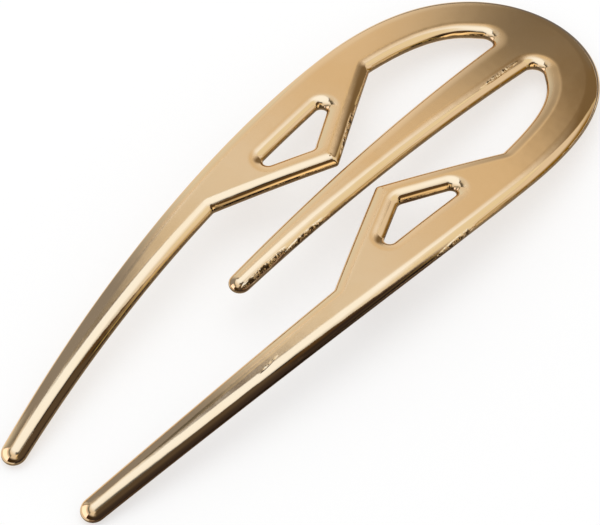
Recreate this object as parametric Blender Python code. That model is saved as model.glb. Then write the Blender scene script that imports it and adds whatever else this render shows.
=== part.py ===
"""Three-prong hair fork, cast in one piece and bowed to follow the head.

The fork starts as a flat blank. Half of the blank's outline is drawn from arcs, straight
lines and Bezier curves, and is mirrored. The edges are rounded all the way round to an
elliptical section, then the blank is bowed about an axis that runs across it.

Lengths are in metres. X runs across the fork and Y along it, with the crown at +Y and the
tips at -Y. Z points up through the convex face. The origin is under the middle of the fork,
on the surface that the fork lies on.
"""

import math

import bmesh
import bpy
from mathutils import Matrix, Vector
from mathutils.geometry import delaunay_2d_cdt, intersect_line_line_2d, intersect_point_line

# Overall sizes
FORK_LENGTH = 0.115          # crown to tips, along the blank before it is bowed
FORK_WIDTH = 0.0414          # across the widest place
THICKNESS = 0.0025
SHOULDER_WIDTH = 0.00205     # how far the rounded edge reaches in, seen from above
BOW_RADIUS = 0.237
CROWN_STRAIGHT = 0.009       # last stretch at the crown, left flat by the bow

# Outer edge
WIDEST_FROM_CROWN = 0.031
CROWN_HANDLE_SHARES = (0.25, 0.92)    # of the half width, of the distance to the widest place
FLANK_HANDLE_SHARES = (0.21, 0.43)    # of the distance from the widest place to the tip
TIP_SPREAD = 0.008           # from the middle of the fork to the middle of an outer tip
TIP_RADIUS = 0.00205
TIP_OUTER_ANGLE = math.radians(12.5)  # lean of the outer edge where it meets the tip
TIP_INNER_ANGLE = math.radians(10)

# Barb on the inner side of each outer prong
BARB_HEAD_FROM_CROWN = 0.0288
BARB_UPPER_HEIGHT = 0.0177
BARB_LOWER_HEIGHT = 0.0185
BARB_GAP = 0.0012            # between the barb's point and the centre prong
BARB_FOOT_WIDTH = 0.0063     # prong's width where the barb starts
BARB_HEAD_WIDTH = 0.0073     # arch's width where the barb ends
BARB_POINT_RADIUS = 0.0007
BARB_CORNER_RADIUS = 0.0008
FOOT_LEAN = math.radians(4.5)         # lean of the prong's inner edge at the barb's foot

# Window through each barb
WEB_WIDTH = 0.0042           # between the window and the barb's two edges
RAIL_WIDTH = 0.0061          # between the window and the outer edge
WINDOW_POINT_RADIUS = 0.0012
WINDOW_END_RADIUS = 0.0009
CORNER_LIMIT_SHARE = 0.9     # largest corner radius, as a share of the window's inner circle

# Centre prong and the slots beside it
CENTRE_LENGTH = 0.074        # crown to the centre prong's tip
CENTRE_TIP_RADIUS = 0.00175
CENTRE_TAPER = math.radians(1.7)
SLOT_END_FROM_CROWN = 0.0117
SLOT_END_RADIUS = 0.0016
SLOT_END_TURN = math.radians(49)
ARCH_LEAN = math.radians(5)
ARCH_HANDLE_SHARES = (0.71, 0.17)      # of the distance from the barb's head to the slot's end

# Fineness of the faceted surface
EDGE_STEP = 0.0025           # spacing of points along straight and gently curved edges
ARC_STEP = math.radians(24)
SECTION_STEPS = 5            # facets from the edge to the top of the shoulder
NEAR_SHARE = 0.18            # points nearer than this share of EDGE_STEP are dropped
MERGE_SHARE = 0.01           # points nearer than this share of EDGE_STEP become one
SLACK_SHARE = 0.09           # of its depth: how much nearer to an edge a ring's point may lie

# Finish
GOLD_COLOUR = (0.72, 0.50, 0.25, 1.0)
GOLD_ROUGHNESS = 0.16
GOLD_METALLIC = 1.0


def clear_scene():
    """Removes every object that the scene starts with."""
    for item in list(bpy.data.objects):
        bpy.data.objects.remove(item, do_unlink=True)


def gold_material():
    """Returns the polished gold plate that covers the fork."""
    material = bpy.data.materials.new("gold_plate")
    material.use_nodes = True
    shader = material.node_tree.nodes["Principled BSDF"]
    shader.inputs["Base Color"].default_value = GOLD_COLOUR
    shader.inputs["Roughness"].default_value = GOLD_ROUGHNESS
    shader.inputs["Metallic"].default_value = GOLD_METALLIC
    return material


def heading(angle):
    """Returns the unit direction that leans from +Y towards +X by an angle."""
    return Vector((math.sin(angle), math.cos(angle)))


def bezier(start, leave, arrive, end):
    """Returns points from start to end on a cubic Bezier curve, about EDGE_STEP apart."""
    reach = (leave - start).length + (arrive - leave).length + (end - arrive).length
    count = max(2, round((reach + (end - start).length) / 2 / EDGE_STEP))
    points = []
    for step in range(count + 1):
        t = step / count
        s = 1 - t
        points.append(start * s**3 + leave * 3 * s**2 * t + arrive * 3 * s * t**2 + end * t**3)
    return points


def arc(centre, radius, first, last):
    """Returns points on an arc, from one angle to another, measured from +X."""
    count = max(2, math.ceil(abs(last - first) / ARC_STEP))
    angles = [first + (last - first) * step / count for step in range(count + 1)]
    return [centre + Vector((math.cos(a), math.sin(a))) * radius for a in angles]


def fillet(before, corner, after, radius):
    """Returns the arc that rounds the corner between two straight runs."""
    back = (before - corner).normalized()
    ahead = (after - corner).normalized()
    half = back.angle(ahead) / 2
    centre = corner + (back + ahead).normalized() * (radius / math.sin(half))
    start = corner + back * (radius / math.tan(half)) - centre
    turn = math.pi - 2 * half
    if back.cross(ahead) > 0:
        turn = -turn
    first = math.atan2(start.y, start.x)
    return arc(centre, radius, first, first + turn)


def straight(start, end):
    """Returns the points strictly between two ends of a straight run, about EDGE_STEP apart."""
    count = max(1, round((end - start).length / EDGE_STEP))
    return [start.lerp(end, step / count) for step in range(1, count)]


def crossing(point_a, along_a, point_b, along_b):
    """Returns where two straight lines cross, each given by a point and a direction."""
    reach = FORK_LENGTH
    ends = [point_a - along_a * reach, point_a + along_a * reach,
            point_b - along_b * reach, point_b + along_b * reach]
    return intersect_line_line_2d(*ends)


def outer_edge():
    """Returns the outer edge, from the top of the crown down to the outer tip's arc."""
    half_width = FORK_WIDTH / 2
    widest = Vector((half_width, FORK_LENGTH - WIDEST_FROM_CROWN))
    top = Vector((0, FORK_LENGTH))
    sideways = Vector((half_width * CROWN_HANDLE_SHARES[0], 0))
    upwards = Vector((0, WIDEST_FROM_CROWN * CROWN_HANDLE_SHARES[1]))
    crown = bezier(top, top + sideways, widest + upwards, widest)

    centre = Vector((TIP_SPREAD, TIP_RADIUS))
    side = Vector((math.cos(TIP_OUTER_ANGLE), -math.sin(TIP_OUTER_ANGLE)))
    meets = centre + side * TIP_RADIUS
    drop = (widest - meets).length
    downwards = Vector((0, -drop * FLANK_HANDLE_SHARES[0]))
    flank = bezier(widest, widest + downwards,
                   meets + heading(TIP_OUTER_ANGLE) * (drop * FLANK_HANDLE_SHARES[1]), meets)
    return crown + flank[1:]


def edge_x(edge, height):
    """Returns how far out an edge is at a height, for an edge listed from the crown down."""
    for upper, lower in zip(edge, edge[1:]):
        if upper.x > FORK_WIDTH / 4 and upper.y >= height >= lower.y:
            share = (upper.y - height) / (upper.y - lower.y)
            return upper.lerp(lower, share).x
    return edge[-1].x


def centre_flank(height):
    """Returns how far out the centre prong's side is at a height."""
    tip_middle = FORK_LENGTH - CENTRE_LENGTH + CENTRE_TIP_RADIUS
    rise = height - tip_middle
    return CENTRE_TIP_RADIUS / math.cos(CENTRE_TAPER) + rise * math.tan(CENTRE_TAPER)


def barb_corners(edge):
    """Returns the barb's foot, point and head, as sharp corners."""
    head_y = FORK_LENGTH - BARB_HEAD_FROM_CROWN
    point_y = head_y - BARB_UPPER_HEIGHT
    foot_y = point_y - BARB_LOWER_HEIGHT
    foot = Vector((edge_x(edge, foot_y) - BARB_FOOT_WIDTH, foot_y))
    point = Vector((centre_flank(point_y) + BARB_GAP, point_y))
    head = Vector((edge_x(edge, head_y) - BARB_HEAD_WIDTH, head_y))
    return foot, point, head


def half_outline():
    """Returns half the blank's outline, from the top of the crown to the centre prong's tip."""
    edge = outer_edge()
    foot, point, head = barb_corners(edge)

    tip_centre = Vector((TIP_SPREAD, TIP_RADIUS))
    tip = arc(tip_centre, TIP_RADIUS, -TIP_OUTER_ANGLE, -math.pi - TIP_INNER_ANGLE)
    lead = (foot - tip[-1]).length / 3
    inner = bezier(tip[-1], tip[-1] + heading(TIP_INNER_ANGLE) * lead,
                   foot - heading(FOOT_LEAN) * lead, foot)

    side = Vector((math.cos(CENTRE_TAPER), -math.sin(CENTRE_TAPER)))
    slot_y = FORK_LENGTH - SLOT_END_FROM_CROWN
    slot_centre = Vector((centre_flank(slot_y), slot_y)) + side * SLOT_END_RADIUS
    slot_end = arc(slot_centre, SLOT_END_RADIUS, SLOT_END_TURN, math.pi - CENTRE_TAPER)
    span = (slot_end[0] - head).length
    arch = bezier(head, head + heading(-ARCH_LEAN) * (span * ARCH_HANDLE_SHARES[0]),
                  slot_end[0] + heading(math.pi - SLOT_END_TURN) * (span * ARCH_HANDLE_SHARES[1]),
                  slot_end[0])

    foot_round = fillet(inner[-2], foot, point, BARB_CORNER_RADIUS)
    point_round = fillet(foot, point, head, BARB_POINT_RADIUS)
    head_round = fillet(point, head, arch[1], BARB_CORNER_RADIUS)

    centre_tip = Vector((0, FORK_LENGTH - CENTRE_LENGTH + CENTRE_TIP_RADIUS))
    centre_arc = arc(centre_tip, CENTRE_TIP_RADIUS, -CENTRE_TAPER, -math.pi / 2)

    outline = edge + tip[1:] + inner[1:-1]
    outline += foot_round + straight(foot_round[-1], point_round[0])
    outline += point_round + straight(point_round[-1], head_round[0])
    outline += head_round + arch[1:] + slot_end[1:]
    outline += straight(slot_end[-1], centre_arc[0]) + centre_arc
    outline[-1].x = 0
    return outline


def window_outline():
    """Returns the outline of the window through the barb, listed anticlockwise."""
    edge = outer_edge()
    foot, point, head = barb_corners(edge)
    lower = (point - foot).normalized()
    upper = (head - point).normalized()
    lower_in = Vector((lower.y, -lower.x)) * WEB_WIDTH
    upper_in = Vector((upper.y, -upper.x)) * WEB_WIDTH
    rail_foot = Vector((edge_x(edge, foot.y) - RAIL_WIDTH, foot.y))
    rail_head = Vector((edge_x(edge, head.y) - RAIL_WIDTH, head.y))
    rail = (rail_head - rail_foot).normalized()

    near = crossing(foot + lower_in, lower, point + upper_in, upper)
    top = crossing(point + upper_in, upper, rail_foot, rail)
    bottom = crossing(foot + lower_in, lower, rail_foot, rail)

    around = (top - near).length + (bottom - top).length + (near - bottom).length
    inner_circle = abs((top - near).cross(bottom - near)) / around
    limit = inner_circle * CORNER_LIMIT_SHARE
    corners = [fillet(top, near, bottom, min(WINDOW_POINT_RADIUS, limit)),
               fillet(near, bottom, top, min(WINDOW_END_RADIUS, limit)),
               fillet(bottom, top, near, min(WINDOW_END_RADIUS, limit))]
    outline = []
    for corner, following in zip(corners, corners[1:] + corners[:1]):
        outline += corner + straight(corner[-1], following[0])
    return outline


def distance_to(point, runs):
    """Returns the distance from a point to the nearest of several straight runs."""
    nearest = FORK_LENGTH
    for start, end in runs:
        foot, share = intersect_point_line(point, start, end)
        if share <= 0:
            foot = start
        elif share >= 1:
            foot = end
        nearest = min(nearest, (point - foot.to_2d()).length)
    return nearest


def inward(before, here, after):
    """Returns the inward normal at an outline point, lengthened to keep the offset even."""
    first = (here - before).normalized()
    second = (after - here).normalized()
    along = (first + second).normalized()
    return Vector((along.y, -along.x)) / along.dot(first)


def shoulder_at(point):
    """Returns the shoulder's width at a point, which the slim centre tip narrows."""
    on_centre = point.x < centre_flank(point.y) + BARB_GAP / 2
    if on_centre and point.y < FORK_LENGTH - SLOT_END_FROM_CROWN:
        lowest = max(point.y, FORK_LENGTH - CENTRE_LENGTH + CENTRE_TIP_RADIUS)
        return min(SHOULDER_WIDTH, centre_flank(lowest))
    return SHOULDER_WIDTH


def surface_height(point, depth):
    """Returns the height of the blank's upper surface at a distance in from the edge."""
    share = 1 - min(depth / shoulder_at(point), 1)
    return THICKNESS / 2 * math.sqrt(1 - share**2)


def inside(point, outline):
    """Tells whether a point is inside a closed outline."""
    within = False
    for start, end in zip(outline, outline[1:] + outline[:1]):
        if (start.y > point.y) != (end.y > point.y):
            share = (point.y - start.y) / (end.y - start.y)
            if point.x < start.x + (end.x - start.x) * share:
                within = not within
    return within


def quarter_mesh():
    """Builds the upper right quarter of the flat blank and returns it as a bmesh."""
    half = half_outline()
    window = window_outline()
    runs = list(zip(half, half[1:])) + list(zip(window, window[1:] + window[:1]))
    near = EDGE_STEP * NEAR_SHARE

    points = half + window
    half_count = len(half)
    window_count = len(window)
    edges = [(i, i + 1) for i in range(half_count - 1)]
    edges += [(half_count + i, half_count + (i + 1) % window_count) for i in range(window_count)]

    # The rounded edge: rings of points at rising depth, kept where no other edge is nearer.
    loops = [[Vector((-half[1].x, half[1].y))] + half + [Vector((-half[-2].x, half[-2].y))],
             [window[-1]] + window + [window[0]]]
    kept = []
    for step in range(1, SECTION_STEPS + 1):
        angle = math.pi / 2 * step / SECTION_STEPS
        for loop in loops:
            previous = None
            for before, here, after in zip(loop, loop[1:], loop[2:]):
                depth = shoulder_at(here) * (1 - math.cos(angle))
                spot = here + inward(before, here, after) * depth
                middle = here.x == 0
                if middle:
                    spot.x = 0
                clear = distance_to(spot, runs) > depth * (1 - SLACK_SHARE)
                apart = all((spot - other).length > near for other in kept)
                if not clear or not apart or (spot.x < near and not middle):
                    previous = None
                    continue
                kept.append(spot)
                points.append(spot)
                if previous is not None:
                    edges.append((previous, len(points) - 1))
                previous = len(points) - 1

    # The middle line, where the mirrored half joins on.
    top = FORK_LENGTH - SHOULDER_WIDTH
    bottom = FORK_LENGTH - CENTRE_LENGTH + CENTRE_TIP_RADIUS
    for spot in straight(Vector((0, top)), Vector((0, bottom))):
        points.append(spot)
    middle = sorted((i for i, p in enumerate(points) if p.x == 0), key=lambda i: points[i].y)
    edges += list(zip(middle, middle[1:]))

    merging = EDGE_STEP * MERGE_SHARE
    coords, _, faces, sources, _, _ = delaunay_2d_cdt(points, edges, [], 1, merging)
    mesh = bmesh.new()
    verts = []
    for spot, source in zip(coords, sources):
        on_edge = any(i < half_count + window_count for i in source)
        depth = 0 if on_edge else distance_to(spot, runs)
        verts.append(mesh.verts.new((spot.x, spot.y, surface_height(spot, depth))))
    for face in faces:
        centre = sum((coords[i] for i in face), Vector((0, 0))) / len(face)
        if inside(centre, half) and not inside(centre, window):
            mesh.faces.new([verts[i] for i in face])
    loose = [v for v in mesh.verts if not v.link_faces]
    bmesh.ops.delete(mesh, geom=loose, context="VERTS")
    return mesh


def bowed(co):
    """Returns where a point of the flat blank goes when the blank is bowed."""
    middle = FORK_LENGTH / 2
    last = FORK_LENGTH - CROWN_STRAIGHT
    angle = (min(co.y, last) - middle) / BOW_RADIUS
    beyond = max(co.y - last, 0)
    reach = BOW_RADIUS + co.z
    y = reach * math.sin(angle) + beyond * math.cos(angle)
    z = reach * math.cos(angle) - beyond * math.sin(angle)
    return Vector((co.x, y, z))


def stand_level(mesh):
    """Turns the bowed fork until crown and tips are level, and sets it over the origin."""
    for _ in range(SECTION_STEPS):
        crown = min((v.co for v in mesh.verts if v.co.y > 0), key=lambda co: co.z)
        tips = min((v.co for v in mesh.verts if v.co.y < 0), key=lambda co: co.z)
        tilt = math.atan2(crown.z - tips.z, crown.y - tips.y)
        bmesh.ops.rotate(mesh, verts=mesh.verts, matrix=Matrix.Rotation(-tilt, 3, "X"))
    low_y = min(v.co.y for v in mesh.verts)
    high_y = max(v.co.y for v in mesh.verts)
    low_z = min(v.co.z for v in mesh.verts)
    bmesh.ops.translate(mesh, verts=mesh.verts, vec=(0, -(low_y + high_y) / 2, -low_z))


def build_fork():
    """Builds the hair fork as one closed solid."""
    mesh = quarter_mesh()
    for axis in ("X", "Z"):
        bmesh.ops.mirror(mesh, geom=mesh.verts[:] + mesh.edges[:] + mesh.faces[:],
                         matrix=Matrix.Identity(4), merge_dist=EDGE_STEP * MERGE_SHARE, axis=axis)
    for vert in mesh.verts:
        vert.co = bowed(vert.co)
    stand_level(mesh)
    bmesh.ops.recalc_face_normals(mesh, faces=mesh.faces)

    data = bpy.data.meshes.new("hair_fork")
    mesh.to_mesh(data)
    mesh.free()
    data.materials.append(gold_material())
    data.shade_smooth()
    data.set_sharp_from_angle(angle=ARC_STEP)
    fork = bpy.data.objects.new("hair_fork", data)
    bpy.context.collection.objects.link(fork)
    return fork


clear_scene()
build_fork()
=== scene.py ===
"""A gold-plated three-prong hair fork on a pale table, under a soft box and among cards.

The fork is one casting: a closed crown, two long bowed outer prongs with inward barbs, and a
shorter centre prong. This script lays a fine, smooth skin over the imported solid, gives it the
finish of polished plate, and sets up the camera, the table, the soft box and the cards, light
and dark, that the metal mirrors.

Lengths are in metres. X runs across the fork, +Y towards the crown, and Z up.
"""

import logging
import math
from abc import ABC, abstractmethod
from collections.abc import Iterable
from dataclasses import dataclass, field
from enum import Enum
from typing import ClassVar

import bpy
import numpy as np
from mathutils import Matrix, Vector
from mathutils.geometry import delaunay_2d_cdt, intersect_line_line_2d

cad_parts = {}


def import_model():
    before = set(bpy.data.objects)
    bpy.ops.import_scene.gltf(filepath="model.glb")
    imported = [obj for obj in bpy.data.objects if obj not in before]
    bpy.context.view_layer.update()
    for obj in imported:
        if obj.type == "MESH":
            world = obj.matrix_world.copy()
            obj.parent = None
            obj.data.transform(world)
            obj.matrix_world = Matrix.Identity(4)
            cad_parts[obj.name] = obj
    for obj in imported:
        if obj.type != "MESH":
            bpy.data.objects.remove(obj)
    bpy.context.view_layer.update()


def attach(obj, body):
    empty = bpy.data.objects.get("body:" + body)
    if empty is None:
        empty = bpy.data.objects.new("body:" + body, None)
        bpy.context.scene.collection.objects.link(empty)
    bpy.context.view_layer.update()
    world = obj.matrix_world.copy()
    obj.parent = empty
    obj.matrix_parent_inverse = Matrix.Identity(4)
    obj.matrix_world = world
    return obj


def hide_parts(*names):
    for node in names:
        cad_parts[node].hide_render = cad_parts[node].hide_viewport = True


logging.basicConfig(level=logging.INFO, format="%(message)s")
log = logging.getLogger("hair_fork")

MILLIMETRE = 0.001
NODE = "hair_fork"
BODY = "root"

WHITE = (1, 1, 1, 1)
NOISE_MIDDLE = 0.5
TRIANGLES_INSIDE = 1
LEVELLING_ROUNDS = 4

Colour = tuple[float, float, float]
Place = tuple[float, float, float]
Pair = tuple[float, float]


class Socket(Enum):
    """The kinds of input and output that the node trees here have."""

    NUMBER = "NodeSocketFloat"
    VECTOR = "NodeSocketVector"
    GEOMETRY = "NodeSocketGeometry"
    MATERIAL = "NodeSocketMaterial"


class NodeSheet:
    """A node tree that is being written, with short calls for its nodes and links."""

    def __init__(self, tree: bpy.types.NodeTree) -> None:
        """Starts a sheet for the tree that gets the nodes."""
        self.tree = tree

    def add(self, kind: str, inputs: dict | None = None, **settings: object) -> bpy.types.Node:
        """Adds one node.

        Args:
            kind: Blender's type name for the node.
            inputs: Each input's name or number, with a value or with a socket to link.
            settings: Properties of the node itself.

        Returns:
            The node.
        """
        node = self.tree.nodes.new(kind)
        for name, value in settings.items():
            setattr(node, name, value)
        for key, value in (inputs or {}).items():
            self.feed(node.inputs[key], value)
        return node

    def feed(self, socket: bpy.types.NodeSocket, value: object) -> None:
        """Links a socket to another one, or sets its value.

        Args:
            socket: The input.
            value: An output socket, or a plain value.
        """
        if isinstance(value, bpy.types.NodeSocket):
            self.tree.links.new(value, socket)
        else:
            socket.default_value = value

    def math(self, operation: str, *values: object) -> bpy.types.NodeSocket:
        """Adds a Math node for numbers or sockets, in order, and returns its result's socket."""
        node = self.add("ShaderNodeMath", dict(enumerate(values)), operation=operation)
        return node.outputs[0]

    def blend(self, share: object, first: object, second: object) -> bpy.types.NodeSocket:
        """Mixes two numbers or sockets, with a share of the second that runs from 0 to 1."""
        node = self.add("ShaderNodeMix", {0: share, 2: first, 3: second}, data_type="FLOAT")
        return node.outputs[0]

    def blend_colour(self, share: object, first: object, second: object) -> bpy.types.NodeSocket:
        """Mixes two colours with alpha, or sockets, with a share of the second from 0 to 1."""
        node = self.add("ShaderNodeMix", {0: share, 6: first, 7: second}, data_type="RGBA")
        return node.outputs[2]

    def ramp(self, value: object, low: object, high: object,
             start: float = 0.0, end: float = 1.0) -> bpy.types.NodeSocket:
        """Rescales a number smoothly, and keeps it inside the new range.

        Args:
            value: The number or socket.
            low: Where the range starts.
            high: Where the range ends.
            start: The result at low.
            end: The result at high.

        Returns:
            The rescaled number's socket.
        """
        node = self.add("ShaderNodeMapRange", {0: value, 1: low, 2: high, 3: start, 4: end},
                        interpolation_type="SMOOTHSTEP")
        return node.outputs[0]


def name_sockets(tree: bpy.types.NodeTree, given: dict[str, Socket],
                 results: dict[str, Socket]) -> None:
    """Gives a node group its named inputs and outputs.

    Args:
        tree: The group.
        given: The kind of each input, by name.
        results: The kind of each output, by name.
    """
    for way, kinds in (("INPUT", given), ("OUTPUT", results)):
        for name, kind in kinds.items():
            tree.interface.new_socket(name, in_out=way, socket_type=kind.value)


def linked(name: str, data: bpy.types.ID) -> bpy.types.Object:
    """Makes an object for a mesh, lamp or camera and puts it in the scene.

    Args:
        name: The object's name.
        data: What it shows.

    Returns:
        The object.
    """
    piece = bpy.data.objects.new(name, data)
    bpy.context.collection.objects.link(piece)
    return piece


@dataclass(frozen=True)
class ForkSizes:
    """The fork's driving sizes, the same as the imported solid's.

    The crease is the skin's own. Handles are shares of the stretch that a curve spans.
    """

    length: float = 0.115
    width: float = 0.0414
    thickness: float = 0.0025
    shoulder: float = 0.00205
    bow_radius: float = 0.237
    crown_straight: float = 0.009
    crease_share: float = 0.14

    widest_from_crown: float = 0.031
    crown_handles: Pair = (0.25, 0.92)
    flank_handles: Pair = (0.21, 0.43)
    tip_spread: float = 0.008
    tip_radius: float = 0.00205
    tip_outer_angle: float = math.radians(12.5)
    tip_inner_angle: float = math.radians(10)

    barb_head_from_crown: float = 0.0288
    barb_upper_height: float = 0.0177
    barb_lower_height: float = 0.0185
    barb_gap: float = 0.0012
    barb_foot_width: float = 0.0063
    barb_head_width: float = 0.0073
    barb_point_radius: float = 0.0007
    barb_corner_radius: float = 0.0008
    foot_lean: float = math.radians(4.5)

    web_width: float = 0.0042
    rail_width: float = 0.0061
    window_point_radius: float = 0.0012
    window_end_radius: float = 0.0009

    centre_length: float = 0.074
    centre_tip_radius: float = 0.00175
    centre_taper: float = math.radians(1.7)
    slot_end_from_crown: float = 0.0117
    slot_end_radius: float = 0.0016
    slot_end_turn: float = math.radians(49)
    arch_lean: float = math.radians(5)
    arch_handles: Pair = (0.71, 0.17)


@dataclass(frozen=True)
class Fineness:
    """How finely the skin is cut up.

    The steps are the gaps between points, apart from arc_step, the most that an arc turns from one
    to the next, and curve_steps, the number that a curve has before they are spaced evenly. Points
    of a ring nearer together than crowding_share of an edge step are thinned out, and slack_share
    is how far a point may fall short of its ring's depth. Points nearer than merge are welded, and
    distances are worked out a batch at a time.
    """

    edge_step: float = 0.0003
    arc_step: float = math.radians(7)
    curve_steps: int = 600
    rings: int = 14
    crowding_share: float = 0.45
    slack_share: float = 0.04
    merge: float = 0.000002
    crease_step: float = 0.0003
    field_step: float = 0.0009
    batch: int = 512


class ForkOutline:
    """The outline of the flat blank that the fork is bowed from, as lists of points."""

    def __init__(self, sizes: ForkSizes, fineness: Fineness) -> None:
        """Keeps the sizes that the outline is drawn from.

        Args:
            sizes: The fork's sizes.
            fineness: The spacing of the points.
        """
        self.sizes = sizes
        self.fineness = fineness
        self.edge = self.outer_edge()

    @staticmethod
    def heading(angle: float) -> Vector:
        """Returns the unit direction that leans from +Y towards +X by an angle."""
        return Vector((math.sin(angle), math.cos(angle)))

    def even(self, points: list[Vector]) -> list[Vector]:
        """Spaces the points of a smooth run evenly.

        Args:
            points: The run, with its points as close as it takes to be smooth.

        Returns:
            The run with the same ends and points about edge_step apart.
        """
        xy = np.array(points)
        along = np.concatenate([[0], np.cumsum(np.linalg.norm(np.diff(xy, axis=0), axis=1))])
        count = max(2, round(along[-1] / self.fineness.edge_step))
        places = np.linspace(0, along[-1], count + 1)
        return [Vector((np.interp(s, along, xy[:, 0]), np.interp(s, along, xy[:, 1])))
                for s in places]

    def bezier(self, start: Vector, leave: Vector, arrive: Vector, end: Vector) -> list[Vector]:
        """Returns evenly spaced points on a cubic Bezier curve.

        Args:
            start: The first point.
            leave: The first point's handle.
            arrive: The last point's handle.
            end: The last point.

        Returns:
            The points.
        """
        points = []
        for step in range(self.fineness.curve_steps + 1):
            t = step / self.fineness.curve_steps
            s = 1 - t
            points.append(start * s**3 + leave * 3 * s**2 * t + arrive * 3 * s * t**2 + end * t**3)
        return self.even(points)

    def arc(self, centre: Vector, radius: float, first: float, last: float) -> list[Vector]:
        """Returns points on an arc.

        Args:
            centre: The arc's centre.
            radius: Its radius.
            first: The angle at its start, from +X.
            last: The angle at its end.

        Returns:
            The points.
        """
        count = max(2, math.ceil(abs(last - first) / self.fineness.arc_step),
                    math.ceil(abs(last - first) * radius / self.fineness.edge_step))
        angles = [first + (last - first) * step / count for step in range(count + 1)]
        return [centre + Vector((math.cos(a), math.sin(a))) * radius for a in angles]

    def fillet(self, before: Vector, corner: Vector, after: Vector,
               radius: float) -> list[Vector]:
        """Returns the arc that rounds a corner.

        Args:
            before: A point on the straight run that comes in.
            corner: The sharp corner.
            after: A point on the straight run that goes out.
            radius: The arc's radius.

        Returns:
            The arc's points.
        """
        back = (before - corner).normalized()
        ahead = (after - corner).normalized()
        half = back.angle(ahead) / 2
        centre = corner + (back + ahead).normalized() * (radius / math.sin(half))
        start = corner + back * (radius / math.tan(half)) - centre
        turn = math.pi - 2 * half
        if back.cross(ahead) > 0:
            turn = -turn
        first = math.atan2(start.y, start.x)
        return self.arc(centre, radius, first, first + turn)

    def straight(self, start: Vector, end: Vector) -> list[Vector]:
        """Returns the points strictly between the ends of a straight run."""
        count = max(1, round((end - start).length / self.fineness.edge_step))
        return [start.lerp(end, step / count) for step in range(1, count)]

    def outer_edge(self) -> list[Vector]:
        """Draws the outer edge.

        Returns:
            Its points, from the top of the crown down to the outer tip's arc.
        """
        s = self.sizes
        half_width = s.width / 2
        widest = Vector((half_width, s.length - s.widest_from_crown))
        top = Vector((0, s.length))
        sideways = Vector((half_width * s.crown_handles[0], 0))
        upwards = Vector((0, s.widest_from_crown * s.crown_handles[1]))
        crown = self.bezier(top, top + sideways, widest + upwards, widest)

        centre = Vector((s.tip_spread, s.tip_radius))
        side = Vector((math.cos(s.tip_outer_angle), -math.sin(s.tip_outer_angle)))
        meets = centre + side * s.tip_radius
        drop = (widest - meets).length
        downwards = Vector((0, -drop * s.flank_handles[0]))
        flank = self.bezier(widest, widest + downwards,
                            meets + self.heading(s.tip_outer_angle) * (drop * s.flank_handles[1]),
                            meets)
        return crown + flank[1:]

    def edge_x(self, height: float) -> float:
        """Finds how far out the outer edge is at a height on its flank.

        Args:
            height: How far up the fork it is.

        Returns:
            The distance from the middle.
        """
        flank_from = self.sizes.width / 4
        for upper, lower in zip(self.edge, self.edge[1:]):
            if upper.x > flank_from and upper.y >= height >= lower.y:
                share = (upper.y - height) / (upper.y - lower.y)
                return upper.lerp(lower, share).x
        return self.edge[-1].x

    def centre_flank(self, height: float) -> float:
        """Finds how far out the centre prong's side is at a height.

        Args:
            height: How far up the fork it is.

        Returns:
            The distance from the middle.
        """
        s = self.sizes
        rise = height - (s.length - s.centre_length + s.centre_tip_radius)
        return s.centre_tip_radius / math.cos(s.centre_taper) + rise * math.tan(s.centre_taper)

    def barb_corners(self) -> tuple[Vector, Vector, Vector]:
        """Places the barb's corners.

        Returns:
            Its foot, point and head, as sharp corners.
        """
        s = self.sizes
        head_y = s.length - s.barb_head_from_crown
        point_y = head_y - s.barb_upper_height
        foot_y = point_y - s.barb_lower_height
        foot = Vector((self.edge_x(foot_y) - s.barb_foot_width, foot_y))
        point = Vector((self.centre_flank(point_y) + s.barb_gap, point_y))
        head = Vector((self.edge_x(head_y) - s.barb_head_width, head_y))
        return foot, point, head

    def half(self) -> list[Vector]:
        """Draws half the outline.

        Returns:
            Its points, from the top of the crown to the centre prong's tip.
        """
        s = self.sizes
        foot, point, head = self.barb_corners()
        tip = self.arc(Vector((s.tip_spread, s.tip_radius)), s.tip_radius,
                       -s.tip_outer_angle, -math.pi - s.tip_inner_angle)
        third = (foot - tip[-1]).length / 3
        inner = self.bezier(tip[-1], tip[-1] + self.heading(s.tip_inner_angle) * third,
                            foot - self.heading(s.foot_lean) * third, foot)

        side = Vector((math.cos(s.centre_taper), -math.sin(s.centre_taper)))
        slot_y = s.length - s.slot_end_from_crown
        slot_centre = Vector((self.centre_flank(slot_y), slot_y)) + side * s.slot_end_radius
        slot_end = self.arc(slot_centre, s.slot_end_radius, s.slot_end_turn,
                            math.pi - s.centre_taper)
        span = (slot_end[0] - head).length
        arrive = self.heading(math.pi - s.slot_end_turn) * (span * s.arch_handles[1])
        arch = self.bezier(head, head + self.heading(-s.arch_lean) * (span * s.arch_handles[0]),
                           slot_end[0] + arrive, slot_end[0])

        inner = self.cut_back(inner, foot, s.barb_corner_radius)
        arch = self.cut_back(arch[::-1], head, s.barb_corner_radius)[::-1]
        foot_round = self.fillet(inner[-1], foot, point, s.barb_corner_radius)
        point_round = self.fillet(foot, point, head, s.barb_point_radius)
        head_round = self.fillet(point, head, arch[0], s.barb_corner_radius)

        centre_tip = Vector((0, s.length - s.centre_length + s.centre_tip_radius))
        centre_arc = self.arc(centre_tip, s.centre_tip_radius, -s.centre_taper, -math.pi / 2)

        outline = self.edge + tip[1:] + inner[1:]
        outline += foot_round + self.straight(foot_round[-1], point_round[0])
        outline += point_round + self.straight(point_round[-1], head_round[0])
        outline += head_round + arch + slot_end[1:]
        outline += self.straight(slot_end[-1], centre_arc[0]) + centre_arc
        outline[-1].x = 0
        return outline

    @staticmethod
    def cut_back(run: list[Vector], corner: Vector, radius: float) -> list[Vector]:
        """Drops the points of a run that come nearer to its rounded corner than the radius."""
        return [p for p in run if (p - corner).length > radius]

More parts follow.
